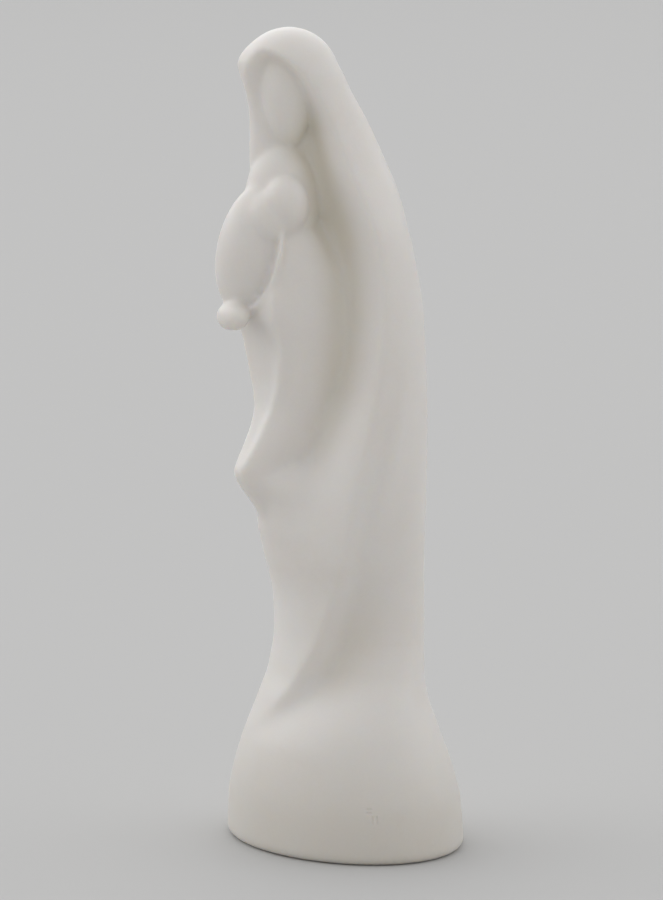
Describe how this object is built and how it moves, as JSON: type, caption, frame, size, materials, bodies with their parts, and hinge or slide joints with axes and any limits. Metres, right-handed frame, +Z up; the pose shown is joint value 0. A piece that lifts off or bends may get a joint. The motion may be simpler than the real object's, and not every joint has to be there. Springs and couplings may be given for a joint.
{
  "type": "virgin and child statue",
  "caption": "Smooth stylised standing mother in a hooded floor-length cloak, holding a swaddled child against her chest, carved in white stone on a flared foot.",
  "frame": {"origin": "centre of the flat underside, on the surface it stands on", "axes": "+Z is up, the figure faces -Y and her left is +X"},
  "size_m": [0.0884, 0.0737, 0.25],
  "materials": {
    "white_stone": "polished white alabaster or marble, slightly translucent, satin"
  },
  "bodies": {
    "root": {"virgin_and_child": "white_stone"}
  },
  "joints": []
}
